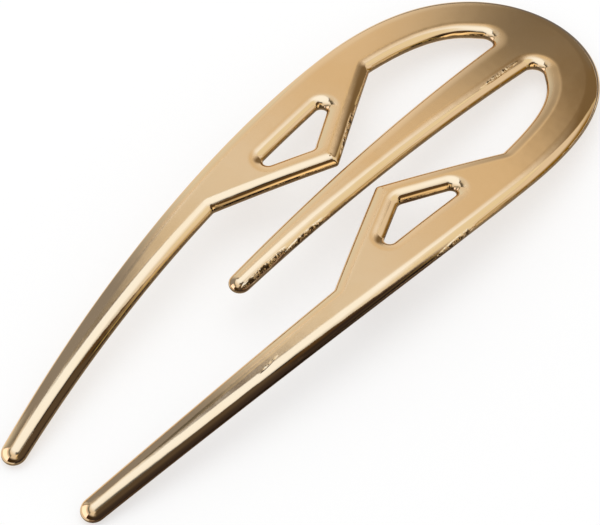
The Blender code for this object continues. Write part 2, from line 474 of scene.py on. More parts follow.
    def window(self) -> list[Vector]:
        """Draws the window through the barb, inwards from the barb's own edges.

        Returns:
            Its outline, listed anticlockwise.
        """
        s = self.sizes
        foot, point, head = self.barb_corners()
        lower = (point - foot).normalized()
        upper = (head - point).normalized()
        lower_in = Vector((lower.y, -lower.x)) * s.web_width
        upper_in = Vector((upper.y, -upper.x)) * s.web_width
        rail_foot = Vector((self.edge_x(foot.y) - s.rail_width, foot.y))
        rail_head = Vector((self.edge_x(head.y) - s.rail_width, head.y))
        rail = (rail_head - rail_foot).normalized()

        near = self.crossing(foot + lower_in, lower, point + upper_in, upper)
        top = self.crossing(point + upper_in, upper, rail_foot, rail)
        bottom = self.crossing(foot + lower_in, lower, rail_foot, rail)
        corners = [self.fillet(top, near, bottom, s.window_point_radius),
                   self.fillet(near, bottom, top, s.window_end_radius),
                   self.fillet(bottom, top, near, s.window_end_radius)]
        outline = []
        for corner, following in zip(corners, corners[1:] + corners[:1]):
            outline += corner + self.straight(corner[-1], following[0])
        return outline

    def crossing(self, point_a: Vector, along_a: Vector, point_b: Vector,
                 along_b: Vector) -> Vector:
        """Returns where two straight lines cross, each given by a point and a direction."""
        reach = self.sizes.length
        return intersect_line_line_2d(point_a - along_a * reach, point_a + along_a * reach,
                                      point_b - along_b * reach, point_b + along_b * reach)

    def shoulder_at(self, point: Vector) -> float:
        """Finds the shoulder's width at a point, which the slim centre tip narrows.

        Args:
            point: A point of the outline.

        Returns:
            The width there.
        """
        s = self.sizes
        on_centre = point.x < self.centre_flank(point.y) + s.barb_gap / 2
        if on_centre and point.y < s.length - s.slot_end_from_crown:
            lowest = max(point.y, s.length - s.centre_length + s.centre_tip_radius)
            return min(s.shoulder, self.centre_flank(lowest))
        return s.shoulder


class FlatSkin:
    """The flat blank's right half as a fine mesh, with an inset for every point.

    Rings of points follow the outline at rising depth, so that the rounded edge is smooth. The
    flat between them is filled with a plain field of points.
    """

    def __init__(self, outline: ForkOutline) -> None:
        """Keeps the outline.

        Args:
            outline: The blank's outline.
        """
        self.outline = outline
        self.fineness = outline.fineness
        self.loops = [outline.half(), outline.window()]
        starts, ends = [], []
        for loop, closed in zip(self.loops, (False, True)):
            starts += loop if closed else loop[:-1]
            ends += loop[1:] + (loop[:1] if closed else [])
        self.starts = np.array(starts)
        self.ends = np.array(ends)

    def distances(self, points: np.ndarray) -> np.ndarray:
        """Returns each point's distance to the outline.

        Args:
            points: An array of points, two numbers each.

        Returns:
            One distance for each point.
        """
        along = self.ends - self.starts
        length = (along**2).sum(axis=1)
        nearest = np.empty(len(points))
        size = self.fineness.batch
        for first in range(0, len(points), size):
            batch = points[first:first + size]
            gap = batch[:, None, :] - self.starts[None]
            share = np.clip((gap * along[None]).sum(axis=2) / length, 0, 1)
            off = gap - share[..., None] * along[None]
            nearest[first:first + size] = np.sqrt((off**2).sum(axis=2).min(axis=1))
        return nearest

    def inside(self, points: np.ndarray) -> np.ndarray:
        """Tells which points are on the metal: inside the half outline and outside the window.

        Args:
            points: An array of points, two numbers each.

        Returns:
            True or False for each point.
        """
        within = np.zeros(len(points), dtype=bool)
        for start, end in self.closed_runs():
            spans = (start[1] > points[:, 1]) != (end[1] > points[:, 1])
            if not spans.any():
                continue
            share = (points[:, 1] - start[1]) / (end[1] - start[1])
            within ^= spans & (points[:, 0] < start[0] + (end[0] - start[0]) * share)
        return within

    def closed_runs(self) -> Iterable[tuple[Vector, Vector]]:
        """Yields the straight runs of both loops, the half outline closed down the middle."""
        for loop in self.loops:
            yield from zip(loop, loop[1:] + loop[:1])

    @staticmethod
    def inward(before: Vector, here: Vector, after: Vector) -> Vector:
        """Works out which way is inward at a point of the outline.

        Args:
            before: The point before it.
            here: The point itself.
            after: The point after it.

        Returns:
            The inward direction, lengthened to keep an offset even.
        """
        first = (here - before).normalized()
        second = (after - here).normalized()
        along = (first + second).normalized()
        return Vector((along.y, -along.x)) / along.dot(first)

    def ring(self, share: float, beyond: float) -> list[tuple[Vector, bool, float]]:
        """Offsets both loops inwards by one ring's depth.

        Args:
            share: The ring's place on the shoulder, from 0 at the edge to 1 at the flat.
            beyond: How much deeper than that the ring lies.

        Returns:
            For each outline point, its place on the ring, whether it starts a new run, and its
            depth.
        """
        half, window = self.loops
        padded = [[Vector((-half[1].x, half[1].y))] + half + [Vector((-half[-2].x, half[-2].y))],
                  [window[-1]] + window + [window[0]]]
        spots = []
        for loop in padded:
            for number, (before, here, after) in enumerate(zip(loop, loop[1:], loop[2:])):
                depth = self.outline.shoulder_at(here) * share + beyond
                spot = here + self.inward(before, here, after) * depth
                if here.x == 0:
                    spot.x = 0
                spots.append((spot, number == 0, depth))
        return spots

    def build(self) -> bpy.types.Mesh:
        """Builds the flat mesh.

        Returns:
            The right half, face up at height zero, with an "inset" value for each point: 0 on
            the edge, 1 on the flat top.
        """
        points = self.loops[0] + self.loops[1]
        first_count, second_count = len(self.loops[0]), len(self.loops[1])
        insets = [0.0] * len(points)
        edges = [(i, i + 1) for i in range(first_count - 1)]
        edges += [(first_count + i, first_count + (i + 1) % second_count)
                  for i in range(second_count)]
        self.add_rings(points, insets, edges)
        self.add_middle(points, insets, edges)
        self.add_field(points, insets)

        coords, _, faces, sources, _, _ = delaunay_2d_cdt(
            points, edges, [], TRIANGLES_INSIDE, self.fineness.merge)
        flat = np.array([tuple(c) for c in coords])
        inset = np.array([min((insets[i] for i in source), default=1.0) for source in sources])
        middles = np.array([flat[list(face)].mean(axis=0) for face in faces])
        kept = [face for face, good in zip(faces, self.inside(middles)) if good]
        used = np.unique(np.concatenate([np.array(face) for face in kept]))
        renumber = {int(old): new for new, old in enumerate(used)}

        mesh = bpy.data.meshes.new("flat_skin")
        mesh.from_pydata([(x, y, 0.0) for x, y in flat[used]], [],
                         [[renumber[i] for i in face] for face in kept])
        mesh.attributes.new("inset", "FLOAT", "POINT").data.foreach_set("value", inset[used])
        return mesh

    def add_rings(self, points: list[Vector], insets: list[float],
                  edges: list[tuple[int, int]]) -> None:
        """Adds the rings of the rounded edge, kept where no other edge is nearer.

        Args:
            points: The mesh's points, which grow.
            insets: Each point's share of the shoulder, which grow too.
            edges: The edges that the mesh must have, which grow too.
        """
        crowding = self.fineness.edge_step * self.fineness.crowding_share
        shares = [1 - math.cos(math.pi / 2 * step / self.fineness.rings)
                  for step in range(1, self.fineness.rings + 1)]
        depths = [(share, 0.0) for share in shares] + [(1.0, self.fineness.crease_step)]
        for share, beyond in depths:
            spots = self.ring(share, beyond)
            places = np.array([tuple(spot) for spot, *_ in spots])
            reached = self.distances(places)
            previous = None
            for (spot, fresh, depth), distance in zip(spots, reached):
                if fresh:
                    previous = None
                clear = distance > depth * (1 - self.fineness.slack_share)
                crowded = previous is not None and (spot - points[previous]).length < crowding
                beside = 0 < spot.x < crowding or spot.x < 0
                if not clear or beside:
                    previous = None
                    continue
                if crowded:
                    continue
                points.append(spot)
                insets.append(share)
                if previous is not None:
                    edges.append((previous, len(points) - 1))
                previous = len(points) - 1

    def add_middle(self, points: list[Vector], insets: list[float],
                   edges: list[tuple[int, int]]) -> None:
        """Adds the middle line, where the mirrored half joins on.

        Args:
            points: The mesh's points, which grow.
            insets: Each point's share of the shoulder, which grow too.
            edges: The edges that the mesh must have, which grow too.
        """
        s = self.outline.sizes
        top = Vector((0, s.length - s.shoulder))
        bottom = Vector((0, s.length - s.centre_length + s.centre_tip_radius))
        taken = {round(p.y / self.fineness.merge) for p in points if p.x == 0}
        for spot in self.outline.straight(top, bottom):
            if round(spot.y / self.fineness.merge) not in taken:
                points.append(spot)
                insets.append(1.0)
        middle = sorted((i for i, p in enumerate(points) if p.x == 0), key=lambda i: points[i].y)
        edges += list(zip(middle, middle[1:]))

    def add_field(self, points: list[Vector], insets: list[float]) -> None:
        """Fills the flat with evenly spaced points, clear of the innermost ring.

        Args:
            points: The mesh's points, which grow.
            insets: Each point's share of the shoulder, which grow too.
        """
        s = self.outline.sizes
        step = self.fineness.field_step
        columns = np.arange(step / 2, s.width / 2, step)
        rows = np.arange(0, s.length, step)
        grid = np.array([(x, y) for y in rows for x in columns])
        clearance = step / 3
        clear = self.distances(grid) > s.shoulder + self.fineness.crease_step + clearance
        for x, y in grid[clear & self.inside(grid)]:
            points.append(Vector((x, y)))
            insets.append(1.0)


class DomeAndBow:
    """The node tree that turns the flat skin into the rounded, bowed casting."""

    sizes: ClassVar[tuple[str, ...]] = ("Thickness", "Crease", "Length", "Crown straight",
                                        "Bow radius", "Turn", "Shift Y", "Shift Z", "Weld")

    def __init__(self) -> None:
        """Writes the tree."""
        self.tree = bpy.data.node_groups.new("dome_and_bow", "GeometryNodeTree")
        self.tree.is_modifier = True
        shape = {"Geometry": Socket.GEOMETRY}
        sizes = dict.fromkeys(self.sizes, Socket.NUMBER)
        name_sockets(self.tree, {**shape, **sizes, "Plate": Socket.MATERIAL}, shape)
        self.sheet = NodeSheet(self.tree)
        self.given = self.sheet.add("NodeGroupInput").outputs
        placed = self.level(self.bow(self.closed(self.whole(self.given["Geometry"]))))
        smooth = self.sheet.add("GeometryNodeSetShadeSmooth", {0: placed})
        real = self.sheet.add("GeometryNodeRealizeInstances", {0: smooth.outputs[0]})
        plated = self.sheet.add("GeometryNodeSetMaterial",
                                {0: real.outputs[0], "Material": self.given["Plate"]})
        self.sheet.add("NodeGroupOutput", {0: plated.outputs[0]})

    def mirrored(self, half: bpy.types.NodeSocket, scale: Place) -> bpy.types.NodeSocket:
        """Adds a shape's mirror image to it and welds the two where they meet.

        Args:
            half: The shape.
            scale: 1 or -1 along each axis.

        Returns:
            The welded whole.
        """
        image = self.sheet.add("GeometryNodeTransform", {0: half, "Scale": scale})
        turned = self.sheet.add("GeometryNodeFlipFaces", {0: image.outputs[0]})
        both = self.sheet.add("GeometryNodeJoinGeometry")
        for part in (half, turned.outputs[0]):
            self.sheet.feed(both.inputs[0], part)
        welded = self.sheet.add("GeometryNodeMergeByDistance",
                                {0: both.outputs[0], "Distance": self.given["Weld"]})
        return welded.outputs[0]

    def whole(self, half: bpy.types.NodeSocket) -> bpy.types.NodeSocket:
        """Mirrors the right half to the left."""
        return self.mirrored(half, (-1, 1, 1))

    def closed(self, flat: bpy.types.NodeSocket) -> bpy.types.NodeSocket:
        """Lifts the flat skin to the rounded shoulder's height and adds the underside.

        Args:
            flat: The whole flat skin.

        Returns:
            The closed blank.
        """
        sheet = self.sheet
        inset = sheet.add("GeometryNodeInputNamedAttribute", {"Name": "inset"}, data_type="FLOAT")
        out = sheet.math("SUBTRACT", 1.0, inset.outputs[0])
        round_up = sheet.math("SQRT", sheet.math("SUBTRACT", 1.0, sheet.math("MULTIPLY", out, out)))
        rise = sheet.blend(self.given["Crease"], round_up, inset.outputs[0])
        half = sheet.math("MULTIPLY", self.given["Thickness"], 0.5)
        offset = sheet.add("ShaderNodeCombineXYZ", {2: sheet.math("MULTIPLY", rise, half)})
        top = sheet.add("GeometryNodeSetPosition", {0: flat, "Offset": offset.outputs[0]})
        return self.mirrored(top.outputs[0], (1, 1, -1))

    def bow(self, blank: bpy.types.NodeSocket) -> bpy.types.NodeSocket:
        """Bends the blank about an axis across it, and leaves the crown's last stretch flat.

        Args:
            blank: The closed blank.

        Returns:
            The bowed shape.
        """
        sheet = self.sheet
        place = sheet.add("GeometryNodeInputPosition")
        parts = sheet.add("ShaderNodeSeparateXYZ", {0: place.outputs[0]}).outputs
        middle = sheet.math("MULTIPLY", self.given["Length"], 0.5)
        last = sheet.math("SUBTRACT", self.given["Length"], self.given["Crown straight"])
        run = sheet.math("SUBTRACT", sheet.math("MINIMUM", parts[1], last), middle)
        angle = sheet.math("DIVIDE", run, self.given["Bow radius"])
        beyond = sheet.math("MAXIMUM", sheet.math("SUBTRACT", parts[1], last), 0.0)
        reach = sheet.math("ADD", self.given["Bow radius"], parts[2])
        sine, cosine = sheet.math("SINE", angle), sheet.math("COSINE", angle)
        y = sheet.math("ADD", sheet.math("MULTIPLY", reach, sine),
                       sheet.math("MULTIPLY", beyond, cosine))
        z = sheet.math("SUBTRACT", sheet.math("MULTIPLY", reach, cosine),
                       sheet.math("MULTIPLY", beyond, sine))
        bent = sheet.add("ShaderNodeCombineXYZ", {0: parts[0], 1: y, 2: z})
        return sheet.add("GeometryNodeSetPosition",
                         {0: blank, "Position": bent.outputs[0]}).outputs[0]

    def level(self, bent: bpy.types.NodeSocket) -> bpy.types.NodeSocket:
        """Turns the bowed shape about X and moves it to its place on the table.

        Args:
            bent: The bowed shape.

        Returns:
            The shape in its place.
        """
        turn = self.sheet.add("ShaderNodeCombineXYZ", {0: self.given["Turn"]})
        shift = self.sheet.add("ShaderNodeCombineXYZ",
                               {1: self.given["Shift Y"], 2: self.given["Shift Z"]})
        placed = self.sheet.add("GeometryNodeTransform",
                                {0: bent, "Translation": shift.outputs[0],
                                 "Rotation": turn.outputs[0]})
        return placed.outputs[0]

    def apply(self, flat: bpy.types.Mesh, name: str, values: dict[str, object]) -> bpy.types.Mesh:
        """Runs the tree on a flat mesh.

        Args:
            flat: The flat mesh.
            name: The finished mesh's name.
            values: Each named input's value.

        Returns:
            The finished mesh, plain and with nothing live on it.
        """
        carrier = linked("carrier", flat)
        modifier = carrier.modifiers.new("shape", "NODES")
        modifier.node_group = self.tree
        for item in self.tree.interface.items_tree:
            if item.in_out == "INPUT" and item.name in values:
                modifier[item.identifier] = values[item.name]
        graph = bpy.context.evaluated_depsgraph_get()
        mesh = bpy.data.meshes.new_from_object(carrier.evaluated_get(graph), depsgraph=graph)
        mesh.name = name
        carrier.modifiers.clear()
        bpy.data.objects.remove(carrier, do_unlink=True)
        return mesh


@dataclass(frozen=True)
class RoughSpot:
    """A patch where the casting was left rough.

    It has a centre, a reach each way, and a lean of its length from +Y towards -X.
    """

    centre: Place
    reach: Place
    lean: float = 0.0


@dataclass(frozen=True)
class PlateFinish:
    """Gold plate over a casting: satin on the flats, bright on the edges, rough on the walls, whose
    colour is painted darker as shade that stands in for the dark reflections they show.

    Sizes are those of a pattern's grain, and depths are those of its relief, in metres. An inset
    is 0 on the edge and 1 on the flat. A range is where a pattern's value starts and ends to show.
    """

    gold: Colour = (0.73, 0.51, 0.29)
    rich_gold: Colour = (0.7, 0.44, 0.19)
    # painted shade: the walls get this dark brown instead of gold, standing in for the dark
    # reflections that the side walls show
    painted_dark_wall: Colour = (0.2, 0.13, 0.065)
    pit: Colour = (0.09, 0.05, 0.02)
    rim_tint: Colour = (1.0, 0.92, 0.8)

    satin_roughness: float = 0.11
    edge_roughness: float = 0.04
    polish_insets: Pair = (0.3, 0.95)
    grain_size: float = 0.0002
    grain_depth: float = 0.0000012
    grain_roughness: float = 0.06
    wave_size: float = 0.0028
    wave_depth: float = 0.00002
    cloud_size: float = 0.009
    cloud_range: Pair = (0.45, 0.75)
    cloud_share: float = 0.2

    wall_roughness: float = 0.34
    wall_inset: float = 0.04
    wall_blur: float = 0.025
    wall_unevenness: float = 0.06
    blot_size: float = 0.0011
    skin_size: float = 0.0003
    skin_warp: float = 0.4
    skin_depth: float = 0.00004

    speckle_size: float = 0.0009
    speckle_warp: float = 0.5
    speckle_depth: float = 0.00026
    speckle_gain: float = 0.12
    pit_range: Pair = (0.62, 0.7)
    spot_core_share: float = 0.55
    rough_spots: tuple[RoughSpot, ...] = (
        RoughSpot((0.0015, -0.0120, 0.0082), (0.0006, 0.0072, 0.0009)),
        RoughSpot((0.0020, -0.0030, 0.0081), (0.0005, 0.0060, 0.0009)),
        RoughSpot((0.0021, 0.0412, 0.0052), (0.0004, 0.0054, 0.0014)),
        RoughSpot((0.0137, -0.0236, 0.0078), (0.0003, 0.0022, 0.0008)),
        RoughSpot((0.0201, 0.0092, 0.0077), (0.0007, 0.0062, 0.0008)),
        RoughSpot((-0.0067, 0.0164, 0.0073), (0.0006, 0.0062, 0.0010), math.radians(30)),
    )

    def build(self) -> bpy.types.Material:
        """Makes the material.

        Returns:
            The material.
        """
        material = bpy.data.materials.new("gold_plate_over_casting")
        material.use_nodes = True
        sheet = NodeSheet(material.node_tree)
        shader = material.node_tree.nodes["Principled BSDF"]
        given = {"Place": sheet.add("ShaderNodeTexCoord").outputs["Object"],
                 "Inset": sheet.add("ShaderNodeAttribute", attribute_name="inset").outputs["Fac"]}
        wall, satin, spots = (sheet.add("ShaderNodeGroup", given, node_tree=tree).outputs
                              for tree in (self.rough_wall_painted_dark(), self.satin(), self.pitted()))

        gold = sheet.blend_colour(satin["Richness"], (*self.gold, 1), (*self.rich_gold, 1))
        # painted shade: the walls' base colour is blended towards the dark brown, standing in for the
        # dark reflections the side walls show; the same mask also raises their roughness
        walled = sheet.blend_colour(wall["Rough and painted dark"], gold, (*self.painted_dark_wall, 1))
        colour = sheet.blend_colour(spots["Pits"], walled, (*self.pit, 1))
        sheet.feed(shader.inputs["Base Color"], colour)
        shader.inputs["Metallic"].default_value = 1
        shader.inputs["Specular Tint"].default_value = (*self.rim_tint, 1)
        rough_painted_dark = sheet.math("MAXIMUM", wall["Rough and painted dark"], spots["Pits"])
        rough = sheet.blend(rough_painted_dark, satin["Roughness"], self.wall_roughness)
        sheet.feed(shader.inputs["Roughness"], rough)
        normal = None
        for height, depth in ((satin["Waves"], self.wave_depth), (satin["Grain"], self.grain_depth),
                              (wall["Height"], self.skin_depth),
                              (spots["Height"], self.speckle_depth)):
            inputs = {"Strength": 1.0, "Distance": depth, "Height": height}
            if normal is not None:
                inputs["Normal"] = normal
            normal = sheet.add("ShaderNodeBump", inputs).outputs[0]
        sheet.feed(shader.inputs["Normal"], normal)
        return material

    def group(self, name: str, *results: str) -> tuple[NodeSheet, dict, bpy.types.Node]:
        """Starts a shader node group that is given a place and the inset there.

        Args:
            name: The group's name.
            results: The names of its outputs, all plain numbers.

        Returns:
            The group's sheet, its inputs and its output node.
        """
        tree = bpy.data.node_groups.new(name, "ShaderNodeTree")
        name_sockets(tree, {"Place": Socket.VECTOR, "Inset": Socket.NUMBER},
                     dict.fromkeys(results, Socket.NUMBER))
        sheet = NodeSheet(tree)
        return sheet, sheet.add("NodeGroupInput").outputs, sheet.add("NodeGroupOutput")

    @staticmethod
    def noise(sheet: NodeSheet, place: object, grain: float, detail: int,
              warp: float = 0.0) -> bpy.types.NodeSocket:
        """Adds a noise texture.

        Args:
            sheet: The tree that gets it.
            place: The coordinates' socket.
            grain: The size of its grain, in metres.
            detail: How many finer layers it has.
            warp: How much it is warped.

        Returns:
            The noise's value.
        """
        node = sheet.add("ShaderNodeTexNoise", {"Vector": place, "Scale": 1 / grain,
                                                "Detail": detail, "Distortion": warp})
        return node.outputs[0]

    @staticmethod
    def swing(sheet: NodeSheet, noise: object, amount: float) -> bpy.types.NodeSocket:
        """Centres a noise value on zero and scales it by an amount."""
        return sheet.math("MULTIPLY", sheet.math("SUBTRACT", noise, NOISE_MIDDLE), amount)

    def rough_wall_painted_dark(self) -> bpy.types.NodeTree:
        """Makes the group for the walls: a rougher skin, and a mask that paints their colour darker
        as shade, standing in for the dark reflections that the side walls show.

        Returns:
            The group. It gives a mask of the rough places whose colour is painted darker, and a
            height.
        """
        sheet, given, result = self.group("rough_wall_painted_dark", "Rough and painted dark", "Height")
        blots = self.noise(sheet, given["Place"], self.blot_size, detail=3)
        skin = self.noise(sheet, given["Place"], self.skin_size, detail=2, warp=self.skin_warp)
        uneven = self.swing(sheet, blots, self.wall_unevenness)
        above = sheet.math("SUBTRACT", given["Inset"], sheet.math("ADD", uneven, self.wall_inset))
        # this mask both roughens the walls and paints their colour darker as shade
        rough_painted_dark = sheet.ramp(above, -self.wall_blur, self.wall_blur, 1, 0)
        sheet.feed(result.inputs["Rough and painted dark"], rough_painted_dark)
        sheet.feed(result.inputs["Height"], sheet.math("MULTIPLY", rough_painted_dark, skin))
        return sheet.tree

    def satin(self) -> bpy.types.NodeTree:
        """Makes the group for the polished faces: fine grain, soft waves, clouds of richer gold.

        Returns:
            The group. It gives how rich the gold is, the roughness and two heights.
        """
        sheet, given, result = self.group("satin_polish", "Richness", "Roughness", "Grain", "Waves")
        clouds = self.noise(sheet, given["Place"], self.cloud_size, detail=2)
        waves = self.noise(sheet, given["Place"], self.wave_size, detail=1)
        grain = self.noise(sheet, given["Place"], self.grain_size, detail=3)
        rough = sheet.ramp(given["Inset"], *self.polish_insets,
                           self.edge_roughness, self.satin_roughness)
        uneven = self.swing(sheet, grain, self.grain_roughness)
        richness = sheet.ramp(clouds, *self.cloud_range, 0, self.cloud_share)
        sheet.feed(result.inputs["Richness"], richness)
        sheet.feed(result.inputs["Roughness"], sheet.math("ADD", rough, uneven))
        sheet.feed(result.inputs["Grain"], grain)
        sheet.feed(result.inputs["Waves"], waves)
        return sheet.tree

    def pitted(self) -> bpy.types.NodeTree:
        """Makes the group for the rough spots, where pits and bright grains lie side by side.

        Returns:
            The group. It gives a mask of the pits and a height.
        """
        sheet, given, result = self.group("pitted_spots", "Pits", "Height")
        within = 0.0
        for spot in self.rough_spots:
            off = sheet.add("ShaderNodeVectorMath", {0: given["Place"], 1: spot.centre},
                            operation="SUBTRACT").outputs[0]
            turned = sheet.add("ShaderNodeVectorRotate", {"Vector": off, "Angle": -spot.lean},
                               rotation_type="Z_AXIS").outputs[0]
            scaled = sheet.add("ShaderNodeVectorMath", {0: turned, 1: spot.reach},
                               operation="DIVIDE").outputs[0]
            far = sheet.add("ShaderNodeVectorMath", {0: scaled}, operation="LENGTH")
            covered = sheet.ramp(far.outputs["Value"], self.spot_core_share, 1.0, 1, 0)
            within = sheet.math("MAXIMUM", within, covered)
        speckle = self.noise(sheet, given["Place"], self.speckle_size, detail=3,
                             warp=self.speckle_warp)
        raised = sheet.math("ADD", speckle, sheet.math("MULTIPLY", within, self.speckle_gain))
        pits = sheet.math("MULTIPLY", within, sheet.ramp(raised, *self.pit_range))
        sheet.feed(result.inputs["Pits"], pits)
        sheet.feed(result.inputs["Height"], sheet.math("MULTIPLY", within, speckle))
        return sheet.tree


@dataclass
class HairFork:
    """The whole fork: one casting, mirrored, domed, bowed and set level on the table."""

    sizes: ForkSizes = field(default_factory=ForkSizes)
    fineness: Fineness = field(default_factory=Fineness)
    finish: PlateFinish = field(default_factory=PlateFinish)

    def build(self) -> bpy.types.Object:
        """Builds the casting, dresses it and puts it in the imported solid's place.

        Returns:
            The finished object.
        """
        flat = FlatSkin(ForkOutline(self.sizes, self.fineness)).build()
        tree = DomeAndBow()
        plate = self.finish.build()
        values = {"Thickness": self.sizes.thickness, "Crease": self.sizes.crease_share,
                  "Length": self.sizes.length, "Crown straight": self.sizes.crown_straight,
                  "Bow radius": self.sizes.bow_radius, "Turn": 0.0, "Shift Y": 0.0,
                  "Shift Z": 0.0, "Weld": self.fineness.merge, "Plate": plate}
        trial = tree.apply(flat, "trial", values)
        values.update(self.resting(trial))
        mesh = tree.apply(flat, NODE, values)
        for spare in (trial, flat):
            bpy.data.meshes.remove(spare)
        fork = linked("polished_fork", mesh)
        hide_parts(NODE)
        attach(fork, BODY)
        return fork

    @staticmethod
    def tilted(y: np.ndarray, z: np.ndarray, turn: float) -> tuple[np.ndarray, np.ndarray]:
        """Returns Y and Z after a turn about X."""
        return y * math.cos(turn) - z * math.sin(turn), y * math.sin(turn) + z * math.cos(turn)

    def resting(self, mesh: bpy.types.Mesh) -> dict[str, float]:
        """Works out how the bowed shape lies on the table, crown and tips level.

        Args:
            mesh: The bowed shape before it is levelled.

        Returns:
            The turn about X and the shifts along Y and Z.
        """
        points = np.empty(len(mesh.vertices) * 3)
        mesh.vertices.foreach_get("co", points)
        y, z = points.reshape(-1, 3)[:, 1:].T
        turn = 0.0
        for _ in range(LEVELLING_ROUNDS):
            flat_y, height = self.tilted(y, z, turn)
            crown = np.where(flat_y > 0, height, np.inf).argmin()
            tips = np.where(flat_y < 0, height, np.inf).argmin()
            turn -= math.atan2(height[crown] - height[tips], flat_y[crown] - flat_y[tips])
        flat_y, height = self.tilted(y, z, turn)
        return {"Turn": turn, "Shift Y": -(flat_y.min() + flat_y.max()) / 2,
                "Shift Z": -height.min()}


@dataclass(frozen=True)
class PhotoCamera:
    """The camera, at the photograph's angle.

    It aims beside the target, by aim_right and aim_up, as the photograph is framed.
    """

    azimuth: float = math.radians(47.524)
    elevation: float = math.radians(50.078)
    roll: float = math.radians(-7.245)
    distance: float = 0.58807
    lens: float = 239.05
    target: Place = (0.0, 0.0, 0.0077)
    aim_right: float = -0.00109
    aim_up: float = -0.0063
    clip_factor: float = 100

    def build(self) -> bpy.types.Object:
        """Places the camera.

        Returns:
            The camera object.
        """
        back = Vector((math.sin(self.azimuth) * math.cos(self.elevation),
                       -math.cos(self.azimuth) * math.cos(self.elevation),
                       math.sin(self.elevation)))
        place = Vector(self.target) + back * self.distance
        level = back.to_track_quat("Z", "Y").to_matrix()
        tilted = level @ Matrix.Rotation(self.roll, 3, "Z")
        aim = Vector(self.target) + tilted @ Vector((self.aim_right, self.aim_up, 0))
        facing = (place - aim).to_track_quat("Z", "Y").to_matrix()
        turned = facing @ Matrix.Rotation(self.roll, 3, "Z")
        data = bpy.data.cameras.new("camera")
        data.lens = self.lens
        data.clip_start = self.distance / self.clip_factor
        data.clip_end = self.distance * self.clip_factor
        camera = linked("camera", data)
        camera.matrix_world = Matrix.Translation(place) @ turned.to_4x4()
        bpy.context.scene.camera = camera
        return camera


@dataclass(frozen=True)
class Card(ABC):
    """A card by the fork, which only polished metal shows, with a feathered rim.

    The feathers are shares of its width at the left and right, and of its height at the foot and
    head. A side without one gets the least, which is too narrow to see. Its strength is how solid
    it is inside them.
    """

    name: str
    colour: Colour
    side_feathers: Pair
    end_feathers: Pair
    strength: float = 1.0
    steps: ClassVar[int] = 16
    least_feather: ClassVar[float] = 0.0001

    @abstractmethod
    def spot(self, across: float, up: float) -> Place:
        """Places a point of the card.

        Args:
            across: How far along the card it is, from 0 to 1.
            up: How far up the card it is, from 0 to 1.

        Returns:
            The point's place.
        """

    def build(self, rim: bpy.types.NodeTree) -> bpy.types.Object:
        """Makes the card.

        Args:
            rim: The group that feathers a card's rim.

        Returns:
            The card's object.
        """
        steps = self.steps
        row = steps + 1
        points = [self.spot(c / steps, r / steps) for r in range(row) for c in range(row)]
        faces = [(r * row + c, (r + 1) * row + c, (r + 1) * row + c + 1, r * row + c + 1)
                 for r in range(steps) for c in range(steps)]
        mesh = bpy.data.meshes.new(self.name)
        mesh.from_pydata(points, [], faces)
        layer = mesh.uv_layers.new(name="spread")
        for loop in mesh.loops:
            r, c = divmod(loop.vertex_index, row)
            layer.data[loop.index].uv = (c / steps, r / steps)
        mesh.materials.append(self.material(rim))
        return hang(mesh)

    def material(self, rim: bpy.types.NodeTree) -> bpy.types.Material:
        """Makes the card's glow, which fades out at the rim.

        Args:
            rim: The group that feathers a card's rim.

        Returns:
            The material.
        """
        material, sheet = glow_sheet(self.name)
        feathers = (max(share, self.least_feather)
                    for share in self.side_feathers + self.end_feathers)
        inputs = dict(zip(("Left", "Right", "Foot", "Head"), feathers))
        inputs["Spread"] = sheet.add("ShaderNodeUVMap", uv_map="spread").outputs[0]
        inputs["Strength"] = self.strength
        solid = sheet.add("ShaderNodeGroup", inputs, node_tree=rim).outputs["Solid"]
        finish_glow(sheet, self.colour, solid)
        return material


@dataclass(frozen=True, kw_only=True)
class BallCard(Card):
    """A card bent to a patch of a ball round the fork.

    Its place is given in degrees: the turn starts from -Y and grows towards +X, and the rise
    starts from the table.
    """

    turn: Pair
    rise: Pair
    reach: float

    def spot(self, across: float, up: float) -> Place:
        """Places a point of the card on the ball.

        Args:
            across: How far along the card it is, from 0 to 1.
            up: How far up the card it is, from 0 to 1.

        Returns:
            The point's place.
        """
        turn = math.radians(self.turn[0] + (self.turn[1] - self.turn[0]) * across)
        rise = math.radians(self.rise[0] + (self.rise[1] - self.rise[0]) * up)
        flat = self.reach * math.cos(rise)
        return flat * math.sin(turn), -flat * math.cos(turn), self.reach * math.sin(rise)


@dataclass(frozen=True, kw_only=True)
class FlatCard(Card):
    """A flat card, given by a corner and its two sides."""

    corner: Place
    side: Place
    rise: Place

    def spot(self, across: float, up: float) -> Place:
        """Places a point of the card on its plane."""
        return tuple(c + s * across + r * up
                     for c, s, r in zip(self.corner, self.side, self.rise))


def feathered_rim() -> bpy.types.NodeTree:
    """Makes the group that fades a card out towards its four sides.

    Returns:
        The group. It gives a mask of how solid the card is.
    """
    tree = bpy.data.node_groups.new("feathered_rim", "ShaderNodeTree")
    shares = dict.fromkeys(("Strength", "Left", "Right", "Foot", "Head"), Socket.NUMBER)
    name_sockets(tree, {"Spread": Socket.VECTOR, **shares}, {"Solid": Socket.NUMBER})
    sheet = NodeSheet(tree)
    given = sheet.add("NodeGroupInput").outputs
    parts = sheet.add("ShaderNodeSeparateXYZ", {0: given["Spread"]}).outputs
    solid = given["Strength"]
    for part, low, high in ((parts[0], "Left", "Right"), (parts[1], "Foot", "Head")):
        solid = sheet.math("MULTIPLY", solid, sheet.ramp(part, 0, given[low]))
        fade = sheet.math("SUBTRACT", 1.0, given[high])
        solid = sheet.math("MULTIPLY", solid, sheet.ramp(part, fade, 1, 1, 0))
    sheet.add("NodeGroupOutput", {"Solid": solid})
    return tree


def glow_sheet(name: str) -> tuple[bpy.types.Material, NodeSheet]:
    """Makes an empty material for something that only glows.

    Args:
        name: The material's name.

    Returns:
        The material and its sheet.
    """
    material = bpy.data.materials.new(name)
    material.use_nodes = True
    material.node_tree.nodes.clear()
    material.cycles.emission_sampling = "NONE"
    return material, NodeSheet(material.node_tree)


